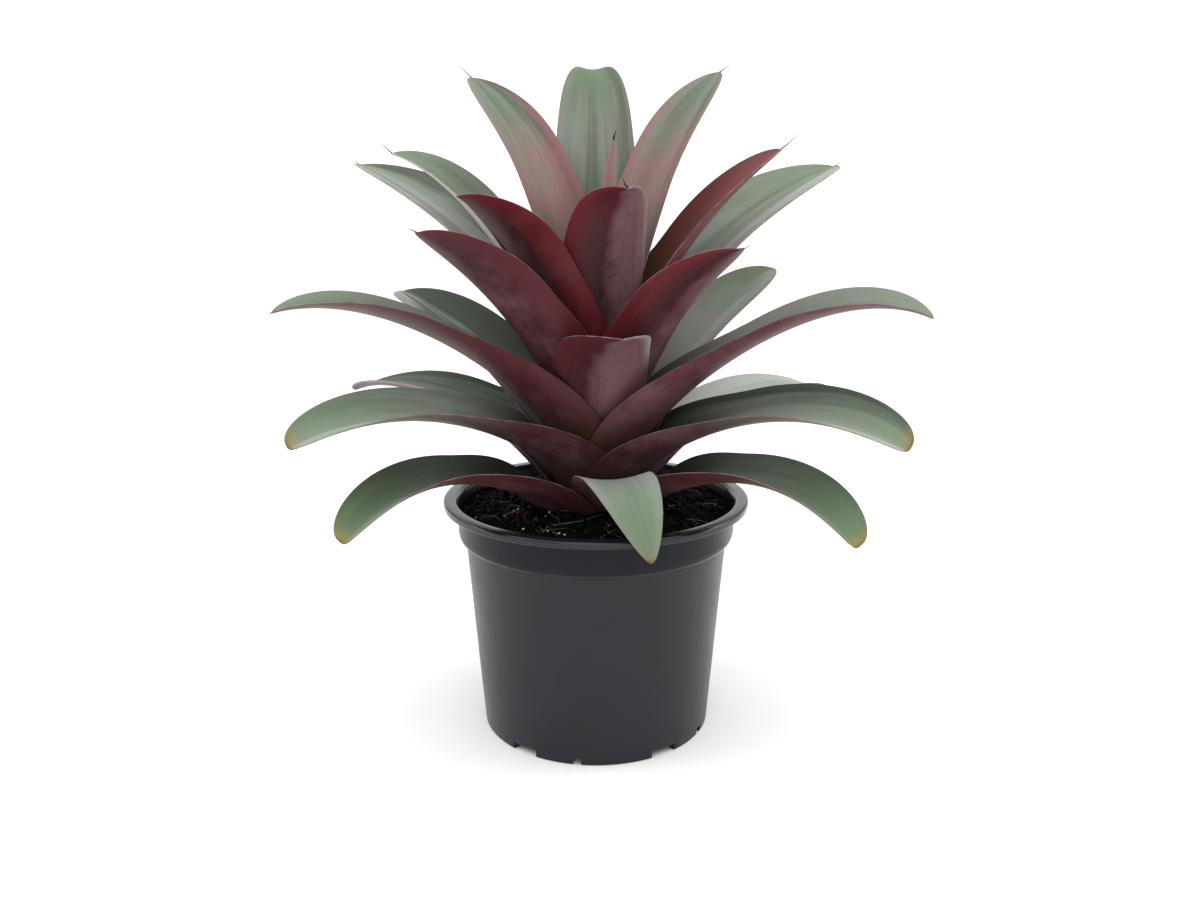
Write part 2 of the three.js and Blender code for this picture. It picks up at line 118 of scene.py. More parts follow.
LEAVES = [
    leaf(
        -55, 119, 62, 30, (118, 177), (152, 134), 24, roll=-3, point=0.42,
        fresh=1, shade=0.7, ruby=0.1, bloom=0.4, frost=0.4,
    ),
    leaf(
        55, 122, 58, 28, (126, 179), (157, 133), 24, roll=3, point=0.42,
        fresh=0.9, shade=0.45, ruby=0.1, bloom=0.5, frost=-0.3,
    ),
    leaf(
        3, 126, 8, 28, (84, 185), (98, 127), 19, cup=20, roll=5, sway=22, taper=0.45, point=0.75,
        fresh=0.65, silver=0.7, ruby=0.1, bloom=0.6,
    ),
    leaf(180, 130, 42, 26, (112, 158), (142, 126), 18, fresh=0.3, shade=0.5),
    leaf(127, 134, 66, 29, (144, 191), (185, 172), 25, fresh=0.4, silver=2.4, frost=1.2),
    leaf(
        -124, 137, 64, 27, (134, 196), (190, 174), 25,
        fresh=0.6, shade=0.4, silver=0.3, ruby=0, bloom=0, frost=1.45, dusk=-1.2,
    ),
    leaf(
        66, 140, 84, 31, (122, 210), (171, 177), 27, roll=15, point=0.42,
        fresh=0.6, silver=0.8, ruby=0.1, bloom=0.7, frost=-0.8, dusk=0.9,
    ),
    leaf(
        -65, 143, 86, 31, (119, 207), (168, 178), 26, twist=12, roll=-11, point=0.42,
        fresh=0.6, silver=0.7, ruby=0.1, bloom=0.5, frost=0.8, dusk=-0.4,
    ),
    leaf(-178, 149, 34, 32, (108, 204), (150, 180), 20, fresh=0.3, shade=0.5),
    leaf(
        129, 151, 41, 39, (101, 240), (140, 254), 23, cup=44, twist=2, roll=8,
        blush=0.05, fresh=0.8, silver=1.9, frost=-2,
    ),
    leaf(
        -134, 156, 46, 30, (137, 230), (178, 236), 26, cup=44, roll=-4,
        blush=0.05, fresh=0.3, shade=1.3, frost=2, dusk=-1.8,
    ),
    leaf(
        78, 156, 90, 37, (128, 265), (177, 238), 26, cup=47, twist=-3, roll=9, lift=-3,
        blush=0.1, fresh=0.3, ruby=0.5, bloom=0.8, shade=0.2, frost=-0.7,
    ),
    leaf(
        -83, 161, 92, 40, (120, 256), (172, 239), 27, cup=46, twist=12, roll=-6, lift=8,
        blush=0.1, fresh=0.4, silver=0.3, ruby=0.5, bloom=0.4, shade=0.2, frost=1,
    ),
    leaf(
        2, 169, 80, 42, (56, 229), (86, 234), 28, sway=10, taper=0.3, point=1,
        blush=0.3, fresh=0.2, ruby=0.3, bloom=0.7, lean=1.2, frost=1.5,
    ),
    leaf(178, 171, 62, 42, (84, 262), (128, 262), 22, blush=0.1, fresh=0.3, shade=0.2),
    leaf(
        45, 175, 64, 42, (64, 257), (97, 275), 28, twist=-8, roll=-2,
        blush=0.3, fresh=0.2, ruby=0.75, bloom=0.45, lean=0.5,
    ),
    leaf(
        -57, 179, 66, 43, (70, 265), (103, 282), 32, twist=10, roll=8, lift=3,
        blush=0.3, fresh=0.2, ruby=0.5, bloom=0.3,
    ),
    leaf(123, 183, 66, 66, (115, 297), (174, 315), 35, cup=38, roll=4, blush=0.15, fresh=0.5, frost=-1.4),
    leaf(
        -124, 187, 52, 67, (115, 299), (176, 316), 33, cup=40,
        blush=0.15, fresh=0.4, silver=0.1, frost=1.5, dusk=-0.8,
    ),
    leaf(
        -104, 191, 66, 58, (73, 313), (116, 321), 25, cup=42, roll=-6,
        blush=0.2, fresh=0.6, silver=0.2, frost=2.2,
    ),
    leaf(
        -64, 195, 84, 48, (48, 287), (77, 299), 31, twist=12, roll=3, lift=9,
        blush=0.5, fresh=0.2, ruby=1, bloom=0, lean=0.3,
    ),
    leaf(100, 199, 70, 50, (66, 300), (102, 323), 23, roll=6, blush=1, ruby=0.7, bloom=0.7),
    leaf(
        6, 204, 80, 56, (44, 304), (74, 303), 25, sway=8, taper=0.2, point=1,
        blush=0.5, fresh=0.2, ruby=0.8, bloom=0.2, lean=1.6, frost=1.35,
    ),
    leaf(
        180, 209, 76, 84, (96, 386), (116, 371), 24.5, cup=30, sway=2.5, taper=0.25, point=0.9,
        blush=0.1, fresh=0.9, silver=0.05, shade=0.15, dusk=-0.5,
    ),
    leaf(
        137, 214, 58, 72, (62, 340), (105, 368), 20.5, cup=42, point=0.7,
        blush=0.75, fresh=0.3, shade=0.25, dusk=-0.5,
    ),
    leaf(
        -137, 220, 58, 68, (61, 340), (107, 365), 22.5, cup=42, point=0.7,
        blush=0.8, fresh=0.3, shade=0.1, dusk=-0.7,
    ),
    leaf(24, 236, 80, 10, (13, 300), (16, 327), 7, cup=36, sway=3, taper=0, point=1, blush=0.9, silver=0.7),
]

# Dried threads at leaf tips: the leaf's number and a path from its tip, right and up, in millimetres.
TIP_THREADS = [
    (17, ((0, 0), (-3, 1.5), (-5, 2.5))),
    (16, ((0, 0), (3, 0.5), (6, 2.5))),
    (22, ((0, 0), (5, 4), (10, 9))),
    (18, ((0, 0), (3, 1.5), (4, 3.5))),
    (19, ((0, 0), (-2, 1.5), (-4, 4))),
    (20, ((0, 0), (-3, 2.5), (-7, 6))),
    (25, ((0, 0), (4, 2.5), (8, 5))),
    (26, ((0, 0), (-4, 4), (-9, 8))),
    (11, ((0, 0), (-1, 0.5), (-2, 0.8))),
    (6, ((0, 0), (-1.5, 0.8), (-3, 1))),
    (13, ((0, 0), (-1.5, -0.8), (-2.5, -1.2))),
]
WITHERED_THREADS = [
    (23, ((0, 0), (-1.6, 1.6), (-2.7, 4.8))),
    (27, ((0, 0), (0.6, 3), (1.5, 5.5))),
]


# ---------------------------------------------------------------- small tools
def ease(x):
    """0 at or below 0, 1 at or above 1, and an S curve between."""
    x = min(max(x, 0), 1)
    return x * x * (3 - 2 * x)


def mix(a, b, share):
    return a + (b - a) * share


def finished_piece(name, bm, finishes, replaces=()):
    """Turns a bmesh into a smooth piece that rides on the root body."""
    mesh = bpy.data.meshes.new(name)
    bm.to_mesh(mesh)
    bm.free()
    mesh.shade_smooth()
    for finish in finishes:
        mesh.materials.append(finish)
    piece = bpy.data.objects.new(name, mesh)
    bpy.context.scene.collection.objects.link(piece)
    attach(piece, "root")
    if replaces:
        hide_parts(*replaces)
    return piece


def strand(bm, path, radii, sides=5):
    """A thin closed tube along a path, made by drawing out a small disc."""
    turns = []
    for i, spot in enumerate(path):
        ahead = path[min(i + 1, len(path) - 1)] - path[max(i - 1, 0)]
        facing = ahead.to_track_quat("Z", "Y").to_matrix().to_4x4()
        turns.append(Matrix.Translation(spot) @ facing @ Matrix.Scale(radii[i], 4))
    verts = bmesh.ops.create_circle(bm, cap_ends=True, segments=sides, radius=1, matrix=turns[0])["verts"]
    edges = list({edge for vert in verts for edge in vert.link_edges})
    for before, after in zip(turns, turns[1:]):
        grown = bmesh.ops.extrude_edge_only(bm, edges=edges)["geom"]
        verts = [item for item in grown if isinstance(item, bmesh.types.BMVert)]
        edges = [edge for vert in verts for edge in vert.link_edges if all(v in verts for v in edge.verts)]
        edges = list(set(edges))
        bmesh.ops.transform(bm, matrix=after @ before.inverted(), verts=verts)
    bmesh.ops.contextual_create(bm, geom=edges)


class Nodes:
    """A node tree while it is put together."""

    def __init__(self, owner):
        owner.use_nodes = True
        self.tree = owner.node_tree
        self.tree.nodes.clear()

    def add(self, kind, inputs=None, **settings):
        node = self.tree.nodes.new("ShaderNode" + kind)
        for name, value in settings.items():
            setattr(node, name, value)
        for name, value in (inputs or {}).items():
            if isinstance(value, bpy.types.NodeSocket):
                self.tree.links.new(value, node.inputs[name])
            else:
                node.inputs[name].default_value = value
        return node

    def value(self, operation, a, b=0.0, clamp=False):
        return self.add("Math", {0: a, 1: b}, operation=operation, use_clamp=clamp).outputs[0]

    def span(self, value, low, high, to_low=0.0, to_high=1.0):
        """The value's share of the way from low to high, eased and kept within the range it maps to."""
        inputs = {"Value": value, "From Min": low, "From Max": high, "To Min": to_low, "To Max": to_high}
        return self.add("MapRange", inputs, interpolation_type="SMOOTHSTEP").outputs["Result"]


class Finish(Nodes):
    """A procedural material while its nodes are put together."""

    def __init__(self, name):
        self.material = bpy.data.materials.new(name)
        super().__init__(self.material)
        self.place = self.add("TexCoord").outputs["Object"]

    def blend(self, share, a, b):
        """Colour a turning into colour b."""
        node = self.add("Mix", {0: share}, data_type="RGBA")
        for index, colour in ((6, a), (7, b)):
            if isinstance(colour, bpy.types.NodeSocket):
                self.tree.links.new(colour, node.inputs[index])
            else:
                node.inputs[index].default_value = (*colour, 1)
        return node.outputs[2]

    def vector(self, x, y, z):
        return self.add("CombineXYZ", {"X": x, "Y": y, "Z": z}).outputs[0]

    def grain(self, place, scale, detail=3.0, roughness=0.5, distortion=0.0):
        inputs = {"Vector": place, "Scale": scale, "Detail": detail, "Roughness": roughness, "Distortion": distortion}
        return self.add("TexNoise", inputs).outputs[0]

    def cells(self, place, scale):
        """Distance to the nearest of many scattered points, and a random tint for each."""
        node = self.add("TexVoronoi", {"Vector": place, "Scale": scale})
        return node.outputs["Distance"], node.outputs["Color"]

    def attribute(self, name):
        return self.add("Attribute", attribute_name=name).outputs["Fac"]

    def bump(self, height, distance, strength=1.0, normal=None):
        inputs = {"Height": height, "Distance": distance, "Strength": strength}
        if normal is not None:
            inputs["Normal"] = normal
        return self.add("Bump", inputs).outputs[0]

    def done(self, colour, roughness, normal=None, **fixed):
        inputs = {"Base Color": colour, "Roughness": roughness}
        if normal is not None:
            inputs["Normal"] = normal
        surface = self.add("BsdfPrincipled", inputs)
        for name, value in fixed.items():
            surface.inputs[name.replace("_", " ")].default_value = value
        self.add("OutputMaterial", {"Surface": surface.outputs[0]})
        return self.material


# ---------------------------------------------------------------- settings
def colour_of(name, description, value):
    return bpy.props.FloatVectorProperty(
        name=name, description=description, default=value, size=3, min=0, max=1, subtype="COLOR"
    )


def length_of(name, description, millimetres):
    return bpy.props.FloatProperty(
        name=name, description=description, default=millimetres * MM, precision=5, unit="LENGTH"
    )


class BromeliadPotSettings(bpy.types.PropertyGroup):
    plastic: colour_of("Plastic", "Colour of the moulded plastic", (0.0075, 0.008, 0.0115))
    steps: bpy.props.IntProperty(
        name="Steps", description="Facets round the pot, a whole number for each notch group", default=360, min=90
    )


class BromeliadMixSettings(bpy.types.PropertyGroup):
    peat: colour_of("Peat", "Colour of the damp peat", (0.0014, 0.0012, 0.0009))
    straw: colour_of("Straw", "Colour of dry fibres and chips", (0.34, 0.29, 0.19))
    perlite: colour_of("Perlite", "Colour of the white grains", (0.9, 0.89, 0.86))
    clod: length_of("Clod height", "How far the surface rises and falls", 1.6)
    crumbs: bpy.props.IntProperty(name="Crumbs", description="Loose crumbs of peat", default=1500, min=0)
    fibres: bpy.props.IntProperty(name="Fibres", description="Root and straw fibres", default=110, min=0)
    grains: bpy.props.IntProperty(name="Perlite grains", description="White grains", default=110, min=0)


class BromeliadLeafSettings(bpy.types.PropertyGroup):
    green: colour_of("Green", "Upper side of a leaf", (0.115, 0.157, 0.112))
    silver: colour_of("Silver", "Scurfy bands on the upper side", (0.195, 0.222, 0.19))
    frost: colour_of("Frost", "Silvery side of a leaf that has one", (0.4, 0.42, 0.4))
    # The silvery side is partly a painted sheen.
    scurf: colour_of("Scurf", "Palest lines and patches of the upper side", (0.3, 0.325, 0.29))
    # The upper side's dark streaks, and its painted shade.
    deep: colour_of("Deep green", "Shaded parts of the upper side", (0.022, 0.033, 0.022))
    fresh: colour_of("Fresh green", "Outer end of the low leaves", (0.107, 0.162, 0.083))
    aged: colour_of("Aged", "Yellowing end of the low leaves", (0.2, 0.16, 0.04))
    blush: colour_of("Blush", "Pink towards the base of the upper side", (0.3, 0.122, 0.132))
    wine: colour_of("Wine", "Upper side of the reddest leaf", (0.125, 0.036, 0.038))
    maroon: colour_of("Maroon", "Under side of a leaf", (0.042, 0.0115, 0.0145))
    red: colour_of("Red", "Under side towards its margins", (0.125, 0.0095, 0.0165))
    # The bloom is partly a painted sheen.
    bloom: colour_of("Bloom", "Waxy bloom on the under side", (0.165, 0.083, 0.098))
    sallow: colour_of("Sallow", "Outer end of the low leaves' under side", (0.13, 0.117, 0.1))
    dry: colour_of("Dry", "Dead tip and threads", (0.16, 0.09, 0.05))
    rows: bpy.props.IntProperty(name="Rows", description="Facets along a leaf", default=72, min=8)
    columns: bpy.props.IntProperty(name="Columns", description="Facets across a leaf", default=20, min=4)


class BromeliadStageSettings(bpy.types.PropertyGroup):
    floor: colour_of("Floor", "Colour of the floor", (0.85, 0.85, 0.85))
    focal_length: bpy.props.FloatProperty(
        name="Focal length", description="Focal length of the camera", default=32.4, subtype="DISTANCE_CAMERA"
    )
    surround: bpy.props.FloatProperty(name="Surround", description="Strength of the white surround", default=1.25)
    front: bpy.props.FloatProperty(name="Front", description="Strength of the surround in front", default=0.65)
    fill: bpy.props.FloatProperty(
        name="Fill", description="The surround's share that lights dull surfaces", default=0.62
    )
    overhead: bpy.props.FloatProperty(name="Overhead", description="Strength of the wide overhead light", default=2.3)
    window: bpy.props.FloatProperty(
        name="Front softbox", description="Power of the front softbox", default=5.0, unit="POWER"
    )
    softbox: bpy.props.FloatProperty(
        name="Side softbox", description="Power of each side softbox", default=9.5, unit="POWER"
    )


# ---------------------------------------------------------------- pot
def wall_radius(z):
    return mix(FOOT_RADIUS, WALL_TOP_RADIUS, z / COLLAR_FROM)


def rounded(corner, before, after, radius, steps=4):
    """Points that round a corner of a profile between its two neighbours."""
    corner, before, after = Vector(corner), Vector(before), Vector(after)
    start = corner + (before - corner).normalized() * radius
    end = corner + (after - corner).normalized() * radius
    points = []
    for i in range(steps + 1):
        t = i / steps
        points.append(start * (1 - t) ** 2 + corner * 2 * t * (1 - t) + end * t**2)
    return points


def pot_profile():
    """The pot's wall from the axis, under the foot, up the outside and back down the inside."""
    lip = POT_HEIGHT - RIM_LIP
    channel_outer = FOOT_RADIUS - FOOT_RING_WIDTH
    channel_inner = channel_outer - DRAIN_CHANNEL_WIDTH
    floor = DRAIN_CHANNEL_DEPTH + WALL
    corners = [
        ((0, 0), 0),
        ((channel_inner, 0), 0.5),
        ((channel_inner + 1, DRAIN_CHANNEL_DEPTH), 0.3),
        ((channel_outer - 1, DRAIN_CHANNEL_DEPTH), 0.3),
        ((channel_outer, 0), 0.4),
        ((FOOT_RADIUS, 0), 0.9),
        ((wall_radius(5), 5), 0),
        ((wall_radius(7), 7), 0),
        ((WALL_TOP_RADIUS, COLLAR_FROM - 0.5), 0.8),
        ((COLLAR_RADIUS - 1.4, COLLAR_FROM + 0.4), 1.2),
        ((COLLAR_RADIUS - 0.2, COLLAR_FROM + 3.5), 1.4),
        ((COLLAR_RADIUS, lip), 0.8),
        ((RIM_RADIUS, lip - 0.2), 1.2),
        ((RIM_RADIUS, POT_HEIGHT), 1.3),
        ((RIM_INNER_RADIUS + 0.4, POT_HEIGHT), 0.7),
        ((RIM_INNER_RADIUS - 1.2, POT_HEIGHT - 2.2), 0.8),
        ((COLLAR_RADIUS - WALL, lip - 3), 0.8),
        ((COLLAR_RADIUS - WALL - 0.4, COLLAR_FROM + 3.6), 0.8),
        ((WALL_TOP_RADIUS - WALL, COLLAR_FROM), 0.8),
        ((wall_radius(floor) - WALL, floor), 1.2),
        ((channel_inner - 1, floor), 0.8),
        ((channel_inner - 2, WALL), 0.8),
        ((0, WALL), 0),
    ]
    points = []
    for i, (corner, radius) in enumerate(corners):
        if radius:
            points += rounded(corner, corners[i - 1][0], corners[i + 1][0], radius)
        else:
            points.append(Vector(corner))
    return points


def cut_notches(bm, steps):
    """Lifts the foot ring's lower face to the channel's roof between each notch's sides."""
    step = 360 / steps
    for vert in bm.verts:
        radius = math.hypot(vert.co.x, vert.co.y) / MM
        if radius < FOOT_RADIUS - FOOT_RING_WIDTH - 0.8 or vert.co.z / MM > DRAIN_CHANNEL_DEPTH + 0.3:
            continue
        angle = math.degrees(math.atan2(vert.co.x, -vert.co.y))
        for middle, width in NOTCHES:
            turn = 360 / NOTCH_GROUPS
            off = (angle - middle + turn / 2) % turn - turn / 2
            if abs(off) <= width / 2 + 0.01:
                vert.co.z = max(vert.co.z, (DRAIN_CHANNEL_DEPTH + 0.3) * MM)
                if abs(off) > width / 2 - step * 0.9:
                    twist = math.copysign(step * 0.85, off)
                    turned = Matrix.Rotation(math.radians(twist), 3, "Z")
                    vert.co = turned @ vert.co


def pot_finish(settings, name, sheen, roughness):
    """Satin black polypropylene with a fine moulded grain, scuffs, and specks of dust, most near the foot."""
    f = Finish(name)
    grain = f.grain(f.place, 2600, 2)
    clouds = f.grain(f.place, 22, 4, 0.6)
    rub = f.grain(f.place, 140, 5, 0.7, 0.6)
    dust, _ = f.cells(f.place, 420)
    speck = f.span(dust, 0.045, 0.02)
    rare = f.span(f.grain(f.place, 70, 1), 0.62, 0.7)
    low = f.span(f.add("SeparateXYZ", {0: f.place}).outputs["Z"], 0.045, 0.01, 0, 0.14)
    speck = f.value("MULTIPLY", speck, f.value("ADD", rare, low, clamp=True))
    colour = f.blend(f.span(clouds, 0.35, 0.7), settings.plastic, [1.25 * c for c in settings.plastic])
    colour = f.blend(f.span(rub, 0.62, 0.8, 0, 0.25), colour, (0.06, 0.06, 0.065))
    colour = f.blend(speck, colour, (0.35, 0.34, 0.32))
    matt = f.span(clouds, 0.3, 0.7, roughness, roughness + 0.08)
    roughness = f.value("ADD", matt, f.span(rub, 0.55, 0.8, 0, 0.1))
    normal = f.bump(grain, 0.00003, 0.35)
    return f.done(colour, roughness, normal, Specular_IOR_Level=sheen)


class BROMELIAD_OT_pot(bpy.types.Operator):
    """Turns the nursery pot from its profile, with notches in the foot"""

    bl_idname = "bromeliad.pot"
    bl_label = "Pot"

    def execute(self, context):
        settings = context.scene.bromeliad_pot
        bm = bmesh.new()
        verts = [bm.verts.new((point.x * MM, 0, point.y * MM)) for point in pot_profile()]
        edges = [bm.edges.new(pair) for pair in zip(verts, verts[1:])]
        bmesh.ops.spin(
            bm,
            geom=verts + edges,
            cent=(0, 0, 0),
            axis=(0, 0, 1),
            dvec=(0, 0, 0),
            angle=math.tau,
            steps=settings.steps,
            use_merge=True,
        )
        bmesh.ops.remove_doubles(bm, verts=bm.verts, dist=1e-6)
        cut_notches(bm, settings.steps)
        bmesh.ops.recalc_face_normals(bm, faces=bm.faces)
        for face in bm.faces:
            middle = face.calc_center_median() / MM
            if math.hypot(middle.x, middle.y) > COLLAR_RADIUS - WALL and middle.z > COLLAR_FROM:
                rim = middle.z > POT_HEIGHT - RIM_LIP or middle.z < COLLAR_FROM + 1.6
                face.material_index = 2 if rim else 1
        finishes = [
            pot_finish(settings, "black_plastic", 0.3, 0.32),
            pot_finish(settings, "collar_plastic", 0.14, 0.28),
            pot_finish(settings, "rim_plastic", 0.35, 0.14),
        ]
        finished_piece("nursery_pot", bm, finishes, ["pot"])
        return {"FINISHED"}


# ---------------------------------------------------------------- potting mix
def soil_top(radius):
    share = (radius - PLANTING_HOLE_RADIUS) / (RIM_INNER_RADIUS - PLANTING_HOLE_RADIUS)
    return mix(SOIL_HEAP_HEIGHT, SOIL_EDGE_HEIGHT, ease(share))


def soil_height(x, y, clod):
    """Height of the surface in millimetres, with broad humps, clods and crumbs."""
    radius = math.hypot(x, y)
    angle = math.atan2(x, -y)
    calm = ease((COLLAR_RADIUS - WALL - radius) / 5)
    humps = 0.8 * (math.sin(5 * angle + radius / 9) + math.sin(9 * angle - radius / 5 + 1.3))
    clods = noise.fractal(Vector((x, y, 3)) / 8, 0.9, 2.1, 4)
    lumps = noise.ridged_multi_fractal(Vector((x, y, 9)) / 5, 0.9, 2.2, 3, 0.9, 1.5)
    return soil_top(radius) + calm * (0.6 * humps + clod * clods + 0.45 * clod * (lumps - 1))


def mix_finish(settings):
    """Damp peat: nearly black, crumbly, with brown fibres and small pale flecks."""
    f = Finish("peat")
    clods = f.grain(f.place, 160, 5, 0.65)
    fine = f.grain(f.place, 1400, 4, 0.7)
    fleck_distance, fleck_tint = f.cells(f.place, 800)
    brown = [min(1, 1.6 * c) for c in settings.peat]
    colour = f.blend(f.span(clods, 0.4, 0.7), settings.peat, brown)
    colour = f.blend(f.span(fine, 0.62, 0.8, 0, 0.5), colour, (0.009, 0.007, 0.005))
    fleck = f.value("MULTIPLY", f.span(fleck_distance, 0.22, 0.1), f.span(fleck_tint, 0.93, 0.96))
    colour = f.blend(fleck, colour, settings.straw)
    height = f.value("ADD", f.value("MULTIPLY", clods, 1.2), fine)
    return f.done(colour, f.span(fine, 0.3, 0.7, 0.6, 0.95), f.bump(height, 0.0012), Specular_IOR_Level=0.05)


def speck_finish(name, colour):
    """A dull grain or fibre whose colour wanders a little."""
    f = Finish(name)
    wander = f.grain(f.place, 900, 3, 0.6)
    broad = f.grain(f.place, 900 / 14, 2, 0.6)
    tone = f.blend(f.span(wander, 0.3, 0.7), [0.55 * c for c in colour], colour)
    tone = f.blend(f.span(broad, 0.4, 0.7, 0, 0.6), tone, [0.35 * c for c in colour])
    return f.done(tone, 0.8, f.bump(wander, 0.0002), Specular_IOR_Level=0.08)


def scatter_on_mix(draw, inner, outer):
    """A random spot on the mix between two radii, in millimetres."""
    radius = math.sqrt(mix(inner**2, outer**2, draw.random()))
    angle = math.tau * draw.random()
    return radius * math.sin(angle), -radius * math.cos(angle)


def crumb(bm, draw, spot, size):
    """One small irregular lump."""
    place = Matrix.Translation(spot) @ Matrix.Rotation(math.tau * draw.random(), 4, "Z")
    tipped = Matrix.Rotation(draw.random(), 4, "X")
    flattened = Matrix.Diagonal((1, mix(0.55, 1, draw.random()), mix(0.5, 0.9, draw.random()), 1))
    place = place @ tipped @ flattened
    verts = bmesh.ops.create_icosphere(bm, subdivisions=1, radius=size, matrix=place)["verts"]
    for vert in verts:
        vert.co = spot + (vert.co - spot) * mix(0.75, 1.25, draw.random())


class BROMELIAD_OT_potting_mix(bpy.types.Operator):
    """Fills the pot with potting mix and strews its surface with crumbs, perlite and fibres"""

    bl_idname = "bromeliad.potting_mix"
    bl_label = "Potting mix"

    def body(self, settings):
        """The filling, drawn up ring by ring inside the wall and then inwards over the lumpy surface."""
        outer = COLLAR_RADIUS - WALL - 0.5
        low = [(20, 6), (WALL_TOP_RADIUS - 11.5, 6), (WALL_TOP_RADIUS - WALL - 0.3, COLLAR_FROM), (outer, 117)]
        top = [(outer - 0.75 * i, None) for i in range(68)]
        bm = bmesh.new()
        verts = bmesh.ops.create_circle(bm, cap_ends=True, segments=300, radius=low[0][0] * MM)["verts"]
        bmesh.ops.translate(bm, vec=(0, 0, low[0][1] * MM), verts=verts)
        edges = list({edge for vert in verts for edge in vert.link_edges})
        for (old, _), (new, z) in zip(low + top, low[1:] + top):
            grown = bmesh.ops.extrude_edge_only(bm, edges=edges)["geom"]
            verts = [item for item in grown if isinstance(item, bmesh.types.BMVert)]
            ring = set(verts)
            edges = [item for item in grown if isinstance(item, bmesh.types.BMEdge) and set(item.verts) <= ring]
            bmesh.ops.scale(bm, vec=(new / old, new / old, 1), verts=verts)
            for vert in verts:
                height = z if z is not None else soil_height(vert.co.x / MM, vert.co.y / MM, settings.clod / MM)
                vert.co.z = height * MM
        bmesh.ops.contextual_create(bm, geom=edges)
        bmesh.ops.recalc_face_normals(bm, faces=bm.faces)
        finished_piece("potting_mix_body", bm, [mix_finish(settings)], ["potting_mix"])

    def strew(self, name, finish, settings, count, sizes, seed):
        """Crumbs at random spots between the plant and the collar; their sizes lie mostly near the smaller one."""
        draw = random.Random(seed)
        bm = bmesh.new()
        for _ in range(count):
            x, y = scatter_on_mix(draw, *STREWN)
            size = mix(sizes[0], sizes[1], draw.random() ** 2.2)
            height = soil_height(x, y, settings.clod / MM) + 0.2 * size
            crumb(bm, draw, Vector((x, y, height)) * MM, size * MM)
        finished_piece(name, bm, [finish])

    def place(self, name, finish, settings, spots, size):
        """Lumps at given spots."""
        draw = random.Random(3)
        bm = bmesh.new()
        for x, y in spots:
            height = soil_height(x, y, settings.clod / MM) + 0.6 * size
            crumb(bm, draw, Vector((x, y, height)) * MM, size * mix(0.7, 1.1, draw.random()) * MM)
        finished_piece(name, bm, [finish])

    def fibres(self, settings):
        """Thin fibres that wander over the surface, some rising from it."""
        draw = random.Random(29)
        bm = bmesh.new()
        for _ in range(settings.fibres):
            x, y = scatter_on_mix(draw, *FIBRED)
            heading = math.tau * draw.random()
            length = mix(5, 20, draw.random() ** 1.5)
            bend = mix(-1.2, 1.2, draw.random())
            rise = mix(-0.05, 0.35, draw.random() ** 2)
            spot = Vector((x, y, soil_height(x, y, settings.clod / MM) + 0.3))
            path = [spot * MM]
            for _ in range(5):
                heading += bend / 5 + mix(-0.25, 0.25, draw.random())
                step = Vector((math.cos(heading), math.sin(heading), rise)) * length / 5
                rise -= 0.08
                spot = spot + step
                reach = math.hypot(spot.x, spot.y)
                if reach > FIBRE_REACH:
                    spot.x *= FIBRE_REACH / reach
                    spot.y *= FIBRE_REACH / reach
                spot.z = max(spot.z, soil_height(spot.x, spot.y, settings.clod / MM) + 0.15)
                path.append(spot * MM)
            thick = mix(0.08, 0.2, draw.random() ** 2) * MM
            strand(bm, path, [thick, thick, thick, 0.9 * thick, 0.7 * thick, 0.3 * thick], 3)
        bmesh.ops.recalc_face_normals(bm, faces=bm.faces)
        finished_piece("root_fibres", bm, [speck_finish("straw", settings.straw)])

    def execute(self, context):
        settings = context.scene.bromeliad_mix
        self.body(settings)
        peat = speck_finish("peat_crumb", [1.6 * c for c in settings.peat])
        bark = speck_finish("bark", (0.012, 0.008, 0.005))
        perlite = speck_finish("perlite", settings.perlite)
        self.strew("peat_crumbs", peat, settings, settings.crumbs, (0.4, 2.4), 11)
        self.strew("bark_crumbs", bark, settings, settings.crumbs // 12, (0.6, 2.2), 12)
        self.strew("perlite_grains", perlite, settings, settings.grains, (0.15, 0.7), 13)
        self.place("perlite_lumps", perlite, settings, PERLITE_LUMPS, LUMP_SIZE)
        self.place("pebble", speck_finish("pebble", (0.22, 0.12, 0.07)), settings, PEBBLE, PEBBLE_SIZE)
        self.fibres(settings)
        return {"FINISHED"}


# ---------------------------------------------------------------- stem
def stem_radius(z):
    return mix(STEM_BASE_RADIUS, STEM_TOP_RADIUS, (z - STEM_FROM) / (STEM_TOP - STEM_FROM))


def stem_finish():
    """Dull olive stem with the ring scars of old leaf bases."""
    f = Finish("stem_tissue")
    height = f.add("SeparateXYZ", {0: f.place}).outputs["Z"]
    rings = f.grain(f.vector(0.0, 0.0, f.value("MULTIPLY", height, 420)), 1, 2)
    patches = f.grain(f.place, 90, 4)
    colour = f.blend(patches, (0.1, 0.1, 0.035), (0.22, 0.17, 0.08))
    colour = f.blend(f.span(rings, 0.55, 0.7), colour, (0.07, 0.04, 0.02))
    return f.done(colour, 0.75, f.bump(rings, 0.0008))


class BROMELIAD_OT_stem(bpy.types.Operator):
    """Gives the stem its finish"""

    bl_idname = "bromeliad.stem"
    bl_label = "Stem"

    def execute(self, context):
        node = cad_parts["stem"]
        node.data.materials.clear()
        node.data.materials.append(stem_finish())
        return {"FINISHED"}


# ---------------------------------------------------------------- leaves
def midrib(row):
    """The four points of the rib's curve, as distance from the axis and height."""
    lean = 0.42 - 0.002 * (row["base"] - LOWEST_LEAF)
    start = stem_radius(row["base"]) + FIT_GAP + LEAF_THICKNESS
    foot = Vector((start, row["base"]))
    return foot, foot + Vector((lean, 1)) * row["sheath"], Vector(row["bow"]), Vector(row["tip"])


def along_rib(curve, t):
    """Place and direction on the rib."""
    a, b, c, d = curve
    s = 1 - t
    place = a * s**3 + b * 3 * s * s * t + c * 3 * s * t * t + d * t**3
    run = (b - a) * 3 * s * s + (c - b) * 6 * s * t + (d - c) * 3 * t * t
    return place, run.normalized()


